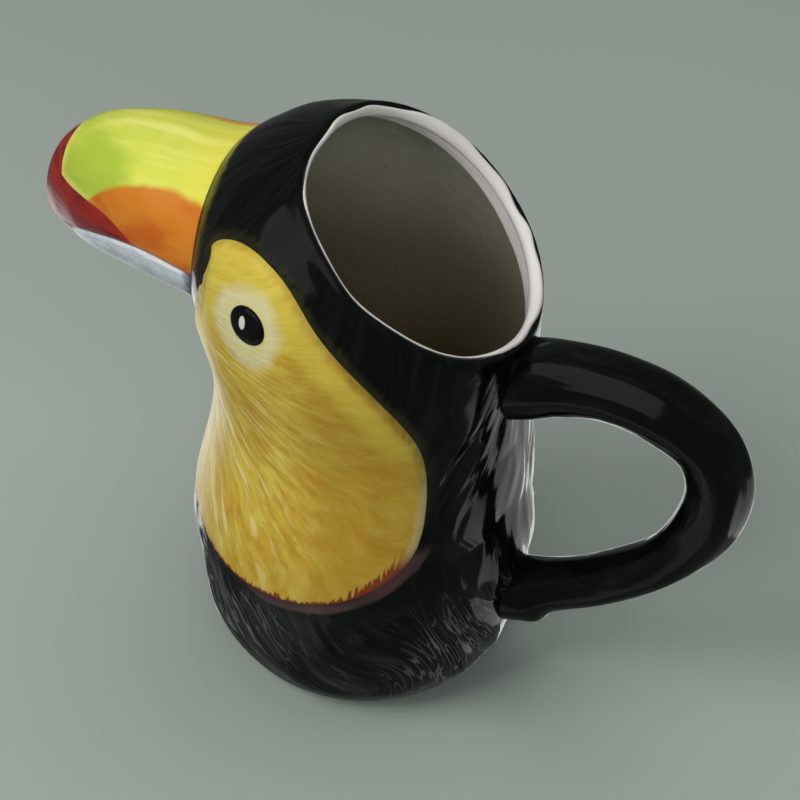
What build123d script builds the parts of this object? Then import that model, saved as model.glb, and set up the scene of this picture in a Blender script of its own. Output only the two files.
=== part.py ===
from build123d import *
from math import atan2, cos, degrees, pi, radians, sin, sqrt
import os

# A slip-cast ceramic jug in the form of a sitting toucan.  The origin is the
# centre of the foot on the table, +Z is up, the beak points along -X and the
# handle stands on the +X side.  All sizes are in millimetres.

# Body: round sections, each with its own centre, from the foot to the crown
foot_radius = 33.5
belly_radius = 47.4
belly_height = 41.0
belly_lean = -0.4            # centre of the belly, measured from the foot's centre
waist_radius = 42.3
waist_height = 93.0
waist_lean = 3.4
head_radius = 45.2
head_height = 124.0
crown_height = 167.0
crown_lean = -3.6
crown_roundness = 2.1        # 2 is an ellipse, more is fuller at the shoulders of the dome

wall = 3.6                   # cast wall
floor = 4.5                  # cast floor above the foot ring
foot_height = 2.5            # bare clay ring under the glazed body
foot_width = 5.0

# Mouth: the head is cut by one slanted plane that falls towards the handle
mouth_x = 17.6
mouth_height = 143.9
mouth_slope = 39.6           # degrees from level

# Glazes
liner = 0.7                  # thickness of the inside glaze
lip_band = 11.5              # white glaze, measured down the inner wall
lip_cap = 1.6                # white glaze over the top of the wall

# Beak: oval sections along a drooping centre line
beak_length = 49.9           # from the front of the head to the tip
beak_root_depth = 19.3       # how far the form starts inside the head
beak_above_head = 10.5       # centre of the beak's root above the head's centre
beak_droop = 12.7            # how far the tip falls below the root's centre
beak_half_width = 32.5
beak_half_height = 24.0
beak_wall = 3.6
thinnest_hollow = 1.0        # the hollow ends where it would be narrower than this
gape_root_drop = 2.8         # parting line of the beak below the centre of its root
gape_fall = 17.0             # how far that line has fallen at the tip
gape_level = 0.35            # share of the beak over which it stays level
gape_bend = 1.6              # how suddenly it starts to fall after that
beyond_tip = 1.15            # share of the beak to which its cutter runs on
vent_radius = 1.5            # lets the hollow beak breathe into the cup when fired

# Painted relief
bib_raise = 1.0              # yellow face and breast stand proud of the black
bib_margin = 1.2             # black line between the beak and the yellow
face_top_rise = 28.5         # top of the face patch above the head's centre
breast_bottom = 47.0
breast_back = 33.0           # how far back the breast patch reaches
breast_front_rise = 10.0     # its lower edge is this much higher at the front
eye_half_length = 5.3
eye_half_height = 4.7
eye_raise = 1.3
eye_angle = 257.7            # degrees round the head from the handle side
eye_rise = 11.5              # eye above the head's centre

# Handle: one closed loop of round clay, thickest where it is luted on
handle_reach = 100.4         # centre line's furthest point from the foot's axis
handle_top = 110.8
handle_upper_root = 104.5
handle_lower_root = 29.5
handle_upper_radius = 9.3
handle_bend_radius = 8.5
handle_lower_radius = 7.3
handle_flare = 2.6           # extra radius at each luted root
handle_bury = 9.0            # how far the form starts inside the body's surface

cutting_block = 400.0        # larger than the jug


def blend(a, b, t):
    """Smooth step from a to b."""
    t = min(max(t, 0.0), 1.0)
    return a + (b - a) * (1 - cos(pi * t)) / 2


def body_centre(z):
    if z < belly_height:
        return blend(0, belly_lean, z / belly_height)
    if z < waist_height:
        return blend(belly_lean, waist_lean, (z - belly_height) / (waist_height - belly_height))
    return blend(waist_lean, crown_lean, (z - waist_height) / (crown_height - waist_height))


def body_radius(z):
    if z < belly_height:
        return foot_radius + (belly_radius - foot_radius) * sqrt(1 - (1 - z / belly_height) ** 2)
    if z < waist_height:
        return blend(belly_radius, waist_radius, (z - belly_height) / (waist_height - belly_height))
    if z < head_height:
        return blend(waist_radius, head_radius, (z - waist_height) / (head_height - waist_height))
    rise = min((z - head_height) / (crown_height - head_height), 1)
    return head_radius * (1 - rise ** crown_roundness) ** (1 / crown_roundness)


def body_levels():
    """Heights of the sections, closer together where the outline turns quickly."""
    below = [belly_height * (1 - cos(radians(a))) for a in (12, 26, 42, 60)]
    belly = [belly_height + (waist_height - belly_height) * i / 4 for i in range(4)]
    waist = [waist_height + (head_height - waist_height) * i / 3 for i in range(3)]
    dome = [head_height + (crown_height - head_height) * sin(radians(a)) for a in (0, 22, 42, 58, 70, 79)]
    return below + belly + waist + dome


def body_form(inset):
    """The closed body form, moved inwards by inset along its own normal."""
    sections = []
    for z in body_levels():
        step = 0.05
        slope = (body_radius(z + step) - body_radius(z - step)) / (2 * step)
        length = sqrt(1 + slope * slope)
        radius = body_radius(z) - inset / length
        height = z + inset * slope / length
        sections.append(Pos(body_centre(z), 0, height) * Circle(radius))
    return loft(sections)


def mouth_plane(depth):
    """The plane of the mouth, lowered by depth along its own normal."""
    tilt = radians(mouth_slope)
    normal = Vector(sin(tilt), 0, cos(tilt))
    origin = Vector(mouth_x, 0, mouth_height) - normal * depth
    return Plane(origin=origin, x_dir=(cos(tilt), 0, -sin(tilt)), z_dir=normal)


def above_level(z):
    """Everything above a level, as a block to cut with."""
    return Pos(0, 0, z + cutting_block / 2) * Box(cutting_block, cutting_block, cutting_block)


def below(shape, plane):
    return split(shape, bisect_by=plane, keep=Keep.BOTTOM)


def above(shape, plane):
    return split(shape, bisect_by=plane, keep=Keep.TOP)


def oval(plane, half_width, half_height):
    points = []
    for i in range(16):
        a = 2 * pi * i / 16
        points.append((half_width * cos(a), half_height * sin(a)))
    return plane * make_face(Spline(*points, periodic=True))


def head_front():
    return body_centre(head_height) - head_radius


# Along the beak from its root inside the head: share of its length, then the half
# width and half height there as shares of the root's, and the share of the droop
beak_stations = [
    (0.00, 1.00, 1.00, 0.00),
    (0.11, 0.89, 0.94, 0.12),
    (0.26, 0.80, 0.90, 0.16),
    (0.43, 0.71, 0.91, 0.13),
    (0.60, 0.59, 0.89, 0.16),
    (0.75, 0.47, 0.82, 0.26),
    (0.86, 0.33, 0.67, 0.41),
    (0.94, 0.21, 0.48, 0.61),
]


def beak_form(inset):
    """The closed beak form, made smaller by inset on every side."""
    root_x = head_front() + beak_root_depth
    root_z = head_height + beak_above_head
    length = beak_root_depth + beak_length - inset
    sections = []
    for share, width, height, fall in beak_stations:
        half_width = beak_half_width * width - inset
        half_height = beak_half_height * height - inset
        if min(half_width, half_height) > thinnest_hollow:
            centre = (root_x - share * length, 0, root_z - beak_droop * fall)
            plane = Plane(centre, x_dir=(0, 1, 0), z_dir=(-1, 0, 0))
            sections.append(oval(plane, half_width, half_height))
    sections.append(Vertex(root_x - length, 0, root_z - beak_droop))
    return loft(sections)


def under_gape():
    """Everything below the curved line where the two halves of the beak meet."""
    root_x = head_front() + beak_root_depth
    level = head_height + beak_above_head - gape_root_drop
    length = beak_root_depth + beak_length
    points = [(root_x, level), (root_x - gape_level * length, level)]
    for share in (0.5, 0.62, 0.74, 0.86, 1.0, beyond_tip):
        past = (share - gape_level) / (1 - gape_level)
        points.append((root_x - share * length, level - gape_fall * past ** gape_bend))
    line = Spline(*points)
    corners = [line @ 1, (root_x - beyond_tip * length, 0), (root_x, 0), line @ 0]
    return extrude(Plane.XZ * make_face([line, Polyline(*corners)]), 2 * beak_half_width, both=True)


def handle_form():
    """The closed handle form, from inside the shoulder round to inside the belly."""
    upper_x = body_centre(handle_upper_root) + body_radius(handle_upper_root)
    lower_x = body_centre(handle_lower_root) + body_radius(handle_lower_root)
    span = handle_reach - upper_x
    rise = handle_top - handle_upper_root
    fall = handle_top - handle_lower_root
    # Along the loop: centre, clay radius and how much of the root's flare is left
    stations = [
        ((upper_x - handle_bury, handle_upper_root - 0.4 * rise), handle_upper_radius, 1.0),
        ((upper_x, handle_upper_root), handle_upper_radius, 0.75),
        ((upper_x + 0.17 * span, handle_top - 0.30 * rise), handle_upper_radius, 0.05),
        ((upper_x + 0.42 * span, handle_top), handle_upper_radius, 0.0),
        ((upper_x + 0.70 * span, handle_top - 0.03 * fall), handle_upper_radius, 0.0),
        ((upper_x + 0.92 * span, handle_top - 0.12 * fall), handle_bend_radius, 0.0),
        ((handle_reach, handle_top - 0.27 * fall), handle_bend_radius, 0.0),
        ((upper_x + 0.945 * span, handle_top - 0.46 * fall), handle_bend_radius, 0.0),
        ((upper_x + 0.76 * span, handle_top - 0.66 * fall), handle_lower_radius, 0.0),
        ((upper_x + 0.46 * span, handle_top - 0.83 * fall), handle_lower_radius, 0.0),
        ((upper_x + 0.20 * span, handle_top - 0.93 * fall), handle_lower_radius, 0.1),
        ((lower_x, handle_lower_root), handle_lower_radius, 0.8),
        ((lower_x - handle_bury, handle_lower_root - 0.02 * fall), handle_lower_radius, 1.0),
    ]
    points = [Vector(x, 0, z) for (x, z), radius, flare in stations]
    sections = []
    for i, (centre, radius, flare) in enumerate(stations):
        ahead = points[min(i + 1, len(points) - 1)] - points[max(i - 1, 0)]
        plane = Plane(points[i], x_dir=(0, 1, 0), z_dir=ahead)
        sections.append(plane * Circle(radius + handle_flare * flare))
    return loft(sections)


def bib_outline():
    """Side view of the yellow face and breast, as one closed outline."""
    face_top = head_height + face_top_rise
    front = -2 * belly_radius
    throat = head_height + beak_above_head
    outline = Spline(
        (-29.0, throat + 2.0),
        (-27.0, throat + 13.0),
        (-16.0, face_top),
        (-2.5, face_top - 3.5),
        (9.5, head_height + 13.5),
        (22.0, head_height - 1.0),
        (breast_back - 3.0, waist_height + 15.0),
        (breast_back, waist_height - 1.0),
        (breast_back - 1.5, belly_height + 28.0),
        (breast_back - 7.5, breast_bottom + 11.0),
        (breast_back - 19.0, breast_bottom + 3.5),
        (0.0, breast_bottom),
        (-18.0, breast_bottom),
        (-32.0, breast_bottom + 3.5),
        (-48.0, breast_bottom + breast_front_rise),
    )
    closing = Polyline(outline @ 1, (front, breast_bottom + breast_front_rise), (front, throat + 2.0), outline @ 0)
    return Plane.XZ * make_face([outline, closing])


def foot_ring_part():
    ring = Circle(foot_radius) - Circle(foot_radius - foot_width)
    return extrude(ring, foot_height)


def body_part(outer, cavity):
    """The black-glazed casting: one wall from the foot ring to the mouth."""
    shell = outer - cavity
    shell = below(shell, mouth_plane(lip_cap))
    vent = Pos(head_front(), 0, head_height + beak_above_head)
    vent *= Rot(0, 90, 0) * Cylinder(vent_radius, 4 * wall)
    return shell - vent


def lip_part(outer, cavity, cup):
    """White glaze: a cap over the wall's top and a band down its inner face."""
    cap = above(below(outer - cup, mouth_plane(0)), mouth_plane(lip_cap))
    band = above(below(cavity - cup, mouth_plane(lip_cap)), mouth_plane(lip_band))
    return cap + band


def liner_part(cavity, cup):
    """Dark inside glaze from the lip band down over the floor."""
    return below(cavity - cup, mouth_plane(lip_band))


def eye_part(side, coat):
    """A low oval dome of black glaze standing on the yellow face."""
    angle = radians(eye_angle)
    z = head_height + eye_rise
    radius = body_radius(z) + bib_raise
    x = body_centre(z) + radius * cos(angle)
    y = radius * sin(angle) * -side
    lie = degrees(atan2(y, x - body_centre(z)))
    slope = (body_radius(z + 1) - body_radius(z - 1)) / 2
    dome = Sphere(1.0)
    dome = scale(dome, by=(2 * eye_raise, eye_half_length, eye_half_height))
    dome = Pos(x, y, z) * Rot(0, 0, lie) * Rot(0, degrees(slope), 0) * dome
    return dome - coat


def build():
    solid_body = body_form(0)
    outer = solid_body & above_level(foot_height)
    cavity = body_form(wall) & above_level(foot_height + floor)
    cup = body_form(wall + liner) & above_level(foot_height + floor + liner)
    beak = beak_form(0)
    hollow = beak_form(beak_wall)
    beak_shell = (beak - hollow) - solid_body
    coat = body_form(-bib_raise)
    bib = (coat - solid_body) & extrude(bib_outline(), 2 * belly_radius, both=True)
    parts = {
        "body": body_part(outer, cavity),
        "foot_ring": foot_ring_part(),
        "lip_glaze": lip_part(outer, cavity, cup),
        "interior_glaze": liner_part(cavity, cup),
        "upper_beak": beak_shell - under_gape(),
        "lower_beak": beak_shell & under_gape(),
        "breast_bib": bib - beak_form(-bib_margin),
        "left_eye": eye_part(1, coat),
        "right_eye": eye_part(-1, coat),
        "handle": handle_form() - solid_body,
    }
    return parts


if __name__ == "__main__":
    os.makedirs("parts", exist_ok=True)
    for name, part in build().items():
        part.label = name
        export_step(part, f"parts/{name}.step")
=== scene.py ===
import functools
import math
import bmesh
import bpy
import numpy as np
from mathutils import Matrix, Vector, noise


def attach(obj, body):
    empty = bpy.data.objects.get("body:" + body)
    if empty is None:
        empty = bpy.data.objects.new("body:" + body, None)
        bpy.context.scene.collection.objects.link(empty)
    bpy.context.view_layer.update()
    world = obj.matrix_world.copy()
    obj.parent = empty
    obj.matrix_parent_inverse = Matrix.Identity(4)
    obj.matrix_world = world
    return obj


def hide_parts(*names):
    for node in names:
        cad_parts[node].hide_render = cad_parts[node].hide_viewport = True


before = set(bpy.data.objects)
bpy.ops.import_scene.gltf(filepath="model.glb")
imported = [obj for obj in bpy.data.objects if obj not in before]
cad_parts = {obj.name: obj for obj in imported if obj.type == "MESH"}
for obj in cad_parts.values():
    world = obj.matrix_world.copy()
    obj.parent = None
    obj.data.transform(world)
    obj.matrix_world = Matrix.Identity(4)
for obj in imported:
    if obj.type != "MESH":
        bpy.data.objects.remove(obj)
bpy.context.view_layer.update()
mm = 0.001               # forms are worked out in millimetres and scaled once, when a piece is finished
lieRadius = 45           # the glaze patterns wrap the jug as if it were a cylinder this wide
unpainted = (-30, 30)    # edge and beakGap of a surface far from the painted borders
mergeDistance = 1e-4
halvings = 28            # steps of the root finder
print("frame loaded")


def ease(a, b, t):
    t = min(max(t, 0), 1)
    return a + (b - a) * (1 - math.cos(math.pi * t)) / 2


def rampUp(x, low, high):
    t = min(max((x - low) / (high - low), 0), 1)
    return t * t * (3 - 2 * t)


def outwardAt(angle):
    return Vector((math.cos(angle), math.sin(angle), 0))


def curveThrough(rows, at, column):   # smooth curve through rows of (position, value, value ...)
    i = 0
    while i < len(rows) - 2 and rows[i + 1][0] <= at:
        i += 1

    def lean(j):
        before, after = rows[max(j - 1, 0)], rows[min(j + 1, len(rows) - 1)]
        return (after[column] - before[column]) / (after[0] - before[0])

    span = rows[i + 1][0] - rows[i][0]
    t = (at - rows[i][0]) / span
    start, end = rows[i][column], rows[i + 1][column]
    startLean, endLean = lean(i) * span, lean(i + 1) * span
    rise = t * t * (3 - 2 * t)
    return start + (end - start) * rise + startLean * t * (1 - t) ** 2 - endLean * t * t * (1 - t)


def solveFor(value, low, high):       # where value(x) turns from positive to negative
    for _ in range(halvings):
        middle = (low + high) / 2
        if value(middle) > 0:
            low = middle
        else:
            high = middle
    return (low + high) / 2


def tubeMesh(rows, columns):          # row number in z, angle round z
    bm = bmesh.new()
    ends = [bm.verts.new((1, 0, z)) for z in (0, rows - 1)]
    line = bm.edges.new(ends)
    bmesh.ops.subdivide_edges(bm, edges=[line], cuts=rows - 2)
    bmesh.ops.spin(bm, geom=bm.verts[:] + bm.edges[:], cent=(0, 0, 0), axis=(0, 0, 1),
                   angle=math.tau, steps=columns, use_merge=True)
    return bm


def sheetMesh(rows, columns):         # both shares run from -1 to 1
    bm = bmesh.new()
    bmesh.ops.create_grid(bm, x_segments=columns, y_segments=rows, size=1)
    return bm


def layOut(bm, place):                # moves every vertex to its place and notes what its glaze needs
    lie = bm.verts.layers.float_vector.new("lie")
    edge = bm.verts.layers.float.new("edge")
    beakGap = bm.verts.layers.float.new("beakGap")
    for v in bm.verts:
        where, along, fromEdge, fromBeak = place(v.co.copy())
        v.co = where
        v[lie] = along
        v[edge] = fromEdge
        v[beakGap] = fromBeak


def finishPiece(name, bm, material, nodes, inside=None, thickness=0):
    bmesh.ops.remove_doubles(bm, verts=bm.verts, dist=mergeDistance)
    bmesh.ops.recalc_face_normals(bm, faces=bm.faces)
    if inside is not None:            # an open sheet: its faces look away from the point inside
        facing = sum((f.calc_center_median() - inside).dot(f.normal) * f.calc_area() for f in bm.faces)
        if facing < 0:
            bmesh.ops.reverse_faces(bm, faces=bm.faces)
    bmesh.ops.scale(bm, vec=(mm, mm, mm), verts=bm.verts)
    mesh = bpy.data.meshes.new(name)
    bm.to_mesh(mesh)
    bm.free()
    mesh.polygons.foreach_set("use_smooth", [True] * len(mesh.polygons))
    mesh.materials.append(material)
    piece = bpy.data.objects.new(name, mesh)
    bpy.context.scene.collection.objects.link(piece)
    if thickness:
        wall = piece.modifiers.new("wall", "SOLIDIFY")
        wall.thickness = thickness * mm
        wall.offset = -1
    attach(piece, "root")
    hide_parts(*nodes)
    print(name, len(mesh.polygons), "faces")


# the forms that the pieces share
jug = {
    "footRadius": 33.5, "footHeight": 2.5, "footWidth": 5.0,
    "bellyRadius": 47.4, "bellyHeight": 41.0, "bellyLean": -0.4,
    "waistRadius": 42.3, "waistHeight": 93.0, "waistLean": 3.4,
    "headRadius": 45.2, "headHeight": 124.0,
    "crownHeight": 167.0, "crownLean": -3.6, "crownRoundness": 2.1,
    "wall": 3.6, "floor": 4.5,
    "mouthX": 17.6, "mouthHeight": 143.9, "mouthSlope": 39.6,
    "rimRadius": 1.55, "rimFlare": 0.5, "rimWobble": 0.95, "rimWave": 19.0,
    "levelSteps": 900, "rimSteps": 721,
    "flareDepth": 9.0, "rimDepth": 14.0,         # how far down the rim turns out and thins the wall
}


def bodyCentre(z):
    if z < jug["bellyHeight"]:
        return ease(0, jug["bellyLean"], z / jug["bellyHeight"])
    if z < jug["waistHeight"]:
        share = (z - jug["bellyHeight"]) / (jug["waistHeight"] - jug["bellyHeight"])
        return ease(jug["bellyLean"], jug["waistLean"], share)
    share = (z - jug["waistHeight"]) / (jug["crownHeight"] - jug["waistHeight"])
    return ease(jug["waistLean"], jug["crownLean"], share)


def bodyRadius(z):
    if z < jug["bellyHeight"]:
        fall = 1 - max(z, 0) / jug["bellyHeight"]
        return jug["footRadius"] + (jug["bellyRadius"] - jug["footRadius"]) * math.sqrt(1 - fall * fall)
    if z < jug["waistHeight"]:
        share = (z - jug["bellyHeight"]) / (jug["waistHeight"] - jug["bellyHeight"])
        return ease(jug["bellyRadius"], jug["waistRadius"], share)
    if z < jug["headHeight"]:
        share = (z - jug["waistHeight"]) / (jug["headHeight"] - jug["waistHeight"])
        return ease(jug["waistRadius"], jug["headRadius"], share)
    rise = min((z - jug["headHeight"]) / (jug["crownHeight"] - jug["headHeight"]), 1)
    return jug["headRadius"] * (1 - rise ** jug["crownRoundness"]) ** (1 / jug["crownRoundness"])


def bodyFrame(z, angle):              # point on the bare form, outward normal and uphill direction
    step = 0.05
    slope = (bodyRadius(z + step) - bodyRadius(z - step)) / (2 * step)
    length = math.hypot(1, slope)
    outward = outwardAt(angle)
    up = Vector((0, 0, 1))
    point = Vector((bodyCentre(z), 0, z)) + outward * bodyRadius(z)
    return point, (outward - up * slope) / length, (outward * slope + up) / length


def bodyPoint(z, angle, out):
    point, normal = bodyFrame(z, angle)[:2]
    return point + normal * out


def depthInBody(p):                   # how far a point is inside the outer form, on the level
    return bodyRadius(p.z) - math.hypot(p.x - bodyCentre(p.z), p.y)


# arc length up the outer form against height
levels = np.linspace(jug["footHeight"], jug["crownHeight"] - 0.2, jug["levelSteps"])
radii = np.array([bodyRadius(z) for z in levels])
climb = np.concatenate([[0], np.cumsum(np.hypot(np.diff(levels), np.diff(radii)))])


def climbTo(z):
    return float(np.interp(z, levels, climb))


def levelAfter(along):
    return float(np.interp(along, climb, levels))


slopeOfMouth = math.radians(jug["mouthSlope"])
mouthNormal = Vector((math.sin(slopeOfMouth), 0, math.cos(slopeOfMouth)))
mouthOrigin = Vector((jug["mouthX"], 0, jug["mouthHeight"]))


def rimLevel(angle):                  # where the middle of the rounded rim sits on this meridian
    def above(z):
        point = bodyPoint(z, angle, -jug["rimRadius"])
        drop = jug["rimRadius"] + jug["rimWobble"] * noise.noise(point / jug["rimWave"])
        return (mouthOrigin - point).dot(mouthNormal) - drop

    return solveFor(above, jug["waistHeight"], jug["crownHeight"] - 0.3)


rimAngles = np.linspace(-math.pi, math.pi, jug["rimSteps"])
rimLevels = np.array([rimLevel(a) for a in rimAngles])


def rimLevelAt(angle):
    return float(np.interp(angle, rimAngles, rimLevels))


def rimClimb(angle):
    return climbTo(rimLevelAt(angle))


beak = {
    "rootX": bodyCentre(jug["headHeight"]) - jug["headRadius"] + 19.3,
    "rootZ": jug["headHeight"] + 10.5,
    "length": 69.2, "droop": 12.7, "halfWidth": 32.5, "halfHeight": 24.0,
    "gapeDrop": 2.8, "gapeFall": 17.0, "gapeLevel": 0.35,
    "gapeBend": 1.6, "groove": 0.45, "grooveWidth": 1.3, "wall": 3.0, "bury": 1.6,
    "planes": 0.16, "smallTip": 6,               # soft hand-modelled planes, fading where it gets narrow
    # share of the length, then half width, half height and droop as shares of the whole
    "stations": [
        (0.00, 1.00, 1.00, 0.00), (0.11, 0.89, 0.94, 0.12), (0.26, 0.80, 0.90, 0.16),
        (0.43, 0.71, 0.91, 0.13), (0.60, 0.59, 0.89, 0.16), (0.75, 0.47, 0.82, 0.26),
        (0.86, 0.33, 0.67, 0.41), (0.94, 0.21, 0.48, 0.61), (0.98, 0.12, 0.28, 0.80),
        (1.00, 0.00, 0.00, 1.00),
    ],
}


def beakOval(share):                  # half width, half height and middle height
    wide, high, fall = (curveThrough(beak["stations"], share, i) for i in (1, 2, 3))
    return beak["halfWidth"] * wide, beak["halfHeight"] * high, beak["rootZ"] - beak["droop"] * fall


def gapeHeight(share):
    past = max(share - beak["gapeLevel"], 0) / (1 - beak["gapeLevel"])
    return beak["rootZ"] - beak["gapeDrop"] - beak["gapeFall"] * past ** beak["gapeBend"]


def gapFromBeak(p):                   # rough distance outside the beak's form
    share = (beak["rootX"] - p.x) / beak["length"]
    if share < 0:
        return 30 - share * beak["length"]
    halfWidth, halfHeight, middle = beakOval(min(share, 0.9))
    return (math.hypot(p.y / halfWidth, (p.z - middle) / halfHeight) - 1) * halfHeight


bib = {
    "raise": 1.0, "sink": -0.9, "margin": 1.5,
    # side view of the yellow face and breast, x and z, round from the beak over the eye
    "outline": [
        (-29, 136.5), (-27, 147.5), (-16, 152.5), (-2.5, 149), (9.5, 137.5), (22, 123), (30, 108),
        (33, 92), (31.5, 69), (25.5, 58), (14, 50.5), (0, 47), (-18, 47), (-32, 50.5), (-48, 57),
    ],
}


def smoothOutline(points, steps):
    rows = [(i, x, z) for i, (x, z) in enumerate(points)]
    places = np.arange(0, (len(points) - 1) * steps + 1) / steps
    return [(curveThrough(rows, t, 1), curveThrough(rows, t, 2)) for t in places]


bibCorners = [(-95, 57), (-95, 136.5)]
bibLoop = np.array(smoothOutline(bib["outline"], 8) + bibCorners)
bibNext = np.roll(bibLoop, -1, axis=0)
bibSteps = bibNext - bibLoop


def insideBib(p):                     # distance inside the side view's outline, negative outside it
    point = np.array((p.x, p.z))
    share = ((point - bibLoop) * bibSteps).sum(1) / (bibSteps ** 2).sum(1)
    nearest = bibLoop + bibSteps * np.clip(share, 0, 1)[:, None]
    distance = float(np.hypot(*(point - nearest).T).min())
    crosses = (bibLoop[:, 1] > p.z) != (bibNext[:, 1] > p.z)
    with np.errstate(divide="ignore", invalid="ignore"):
        at = bibLoop[:, 0] + (p.z - bibLoop[:, 1]) * bibSteps[:, 0] / bibSteps[:, 1]
    inside = int((crosses & (at > p.x)).sum()) % 2 == 1
    return distance if inside else -distance


def strands(angle, along, width, length, seed):   # long narrow waves that run down the body
    around = outwardAt(angle) * (lieRadius / width)
    return noise.noise(around + Vector((0, 0, along / length + seed)))


class Signal:
    def __init__(self, paint, socket):
        self.paint = paint
        self.socket = socket

    def math(self, operation, a, b=0.0):
        return self.paint.node("Math", {"operation": operation}, {0: a, 1: b})

    def __add__(self, other):
        return self.math("ADD", self, other)

    def __sub__(self, other):
        return self.math("SUBTRACT", self, other)

    def __rsub__(self, other):
        return self.math("SUBTRACT", other, self)

    def __mul__(self, other):
        return self.math("MULTIPLY", self, other)

    def __truediv__(self, other):
        return self.math("DIVIDE", self, other)

    def __pow__(self, other):
        return self.math("POWER", self, other)

    def __abs__(self):
        return self.math("ABSOLUTE", self)

    def above(self, other):           # the larger of two
        return self.math("MAXIMUM", self, other)

    def below(self, other):
        return self.math("MINIMUM", self, other)

    __radd__ = __add__
    __rmul__ = __mul__


class Paint:
    def __init__(self, name):
        self.material = bpy.data.materials.new(name)
        self.material.use_nodes = True
        self.tree = self.material.node_tree
        self.tree.nodes.clear()
        self.shader = self.tree.nodes.new("ShaderNodeBsdfPrincipled")
        output = self.tree.nodes.new("ShaderNodeOutputMaterial")
        self.tree.links.new(self.shader.outputs[0], output.inputs[0])

    def feed(self, socket, value):
        if isinstance(value, Signal):
            self.tree.links.new(value.socket, socket)
        else:
            socket.default_value = value

    def node(self, kind, settings, sockets, out=0):
        made = self.tree.nodes.new("ShaderNode" + kind)
        for name, value in settings.items():
            setattr(made, name, value)
        for name, value in sockets.items():
            self.feed(made.inputs[name], value)
        return Signal(self, made.outputs[out])

    def finish(self, **values):
        for name, value in values.items():
            self.feed(self.shader.inputs[name.replace("_", " ")], value)
        return self.material

    def place(self):                  # object coordinates in millimetres
        spot = self.node("TexCoord", {}, {}, out=3)
        return self.node("VectorMath", {"operation": "SCALE"}, {0: spot, "Scale": 1000.0})

    def attribute(self, name, out):
        return self.node("Attribute", {"attribute_name": name}, {}, out=out)

    def axes(self, vector):
        return [self.node("SeparateXYZ", {}, {0: vector}, out=i) for i in range(3)]

    def vector(self, x, y, z):
        return self.node("CombineXYZ", {}, {0: x, 1: y, 2: z})

    def stretch(self, vector, x, y, z):
        return self.node("VectorMath", {"operation": "MULTIPLY"}, {0: vector, 1: (x, y, z)})

    def shift(self, vector, other):
        return self.node("VectorMath", {"operation": "ADD"}, {0: vector, 1: other})

    def away(self, vector, x, y, z):
        return self.node("VectorMath", {"operation": "DISTANCE"}, {0: vector, 1: (x, y, z)}, out=1)

    def cloud(self, vector, scale, detail=2.0, roughness=0.5, distortion=0.0):
        return self.node("TexNoise", {}, {"Vector": vector, "Scale": scale, "Detail": detail,
                                          "Roughness": roughness, "Distortion": distortion})

    def band(self, value, low, high):     # 0 below low, 1 above high
        return self.node("MapRange", {"interpolation_type": "SMOOTHSTEP"}, {0: value, 1: low, 2: high})

    def mix(self, share, a, b):
        return self.node("Mix", {"data_type": "RGBA"}, {0: share, 6: a, 7: b}, out=2)

    def bump(self, height, distance, strength=1.0):
        return self.node("Bump", {}, {"Height": height, "Distance": distance, "Strength": strength})


def tint(red, green, blue):           # a colour as a painter's 0 to 255 mix
    parts = [c / 255 for c in (red, green, blue)]
    return tuple(c / 12.92 if c < 0.04 else ((c + 0.055) / 1.055) ** 2.4 for c in parts) + (1.0,)


body = {
    "outerRows": 176, "rimRows": 11, "innerRows": 56, "flatRows": 6, "columns": 288,
    "broadDepth": 1.5, "broadWidth": 17.0, "broadLength": 30.0,
    "fineDepth": 0.6, "fineWidth": 6.5, "fineLength": 21.0,
    "slant": 0.5, "slantLength": 40.0, "wander": 0.22,
    "underside": 1.2, "lowestInside": 4.0, "cornerInside": 9.0, "floorCrown": 0.6,
}


def swirlAt(angle, along):            # the feathers lean to one side low on the belly and wander a little
    lean = body["slant"] * math.sin(along / body["slantLength"])
    return angle + lean + body["wander"] * strands(angle, along, 22, 30, 5)


def bodyRelief(swirl, along, z, fromBib, fromBeak):   # modelled feathers, in long overlapping strokes
    broad = strands(swirl, along, body["broadWidth"], body["broadLength"], 1)
    fine = strands(swirl, along, body["fineWidth"], body["fineLength"], 9)
    relief = body["broadDepth"] * (abs(broad) * 1.6 - 0.45) - body["fineDepth"] * (abs(fine) - 0.2)
    calm = rampUp(-fromBib, 0.4, 3.5) * rampUp(fromBeak, 0.5, 5) * rampUp(z, 3, 12)
    return relief * calm * (1 - 0.75 * rampUp(z, 92, 118))


def innerWall(angle, along):          # how far the inner face lies inside the outer form
    rimWall = 2 * jug["rimRadius"]
    return rimWall + (jug["wall"] - rimWall) * rampUp(rimClimb(angle) - along, 0, jug["rimDepth"])


def flareAt(angle, along):            # the rim turns out a little
    return jug["rimFlare"] * (1 - rampUp(rimClimb(angle) - along, 0, jug["flareDepth"]))


def rimPoint(angle, turn, lift):      # round the rim from the outer face (0) to the inner face (pi)
    z = rimLevelAt(angle)
    point, normal, uphill = bodyFrame(z, angle)
    centre = point + normal * (jug["rimFlare"] - jug["rimRadius"])
    return centre + (normal * math.cos(turn) + uphill * math.sin(turn)) * (jug["rimRadius"] + lift)


def innerPoint(angle, down, lift):    # down the inner face by an arc length, lifted off it into the cup
    along = max(rimClimb(angle) - down, body["lowestInside"])
    out = flareAt(angle, along) - innerWall(angle, along) - lift
    return bodyPoint(levelAfter(along), angle, out)


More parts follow.
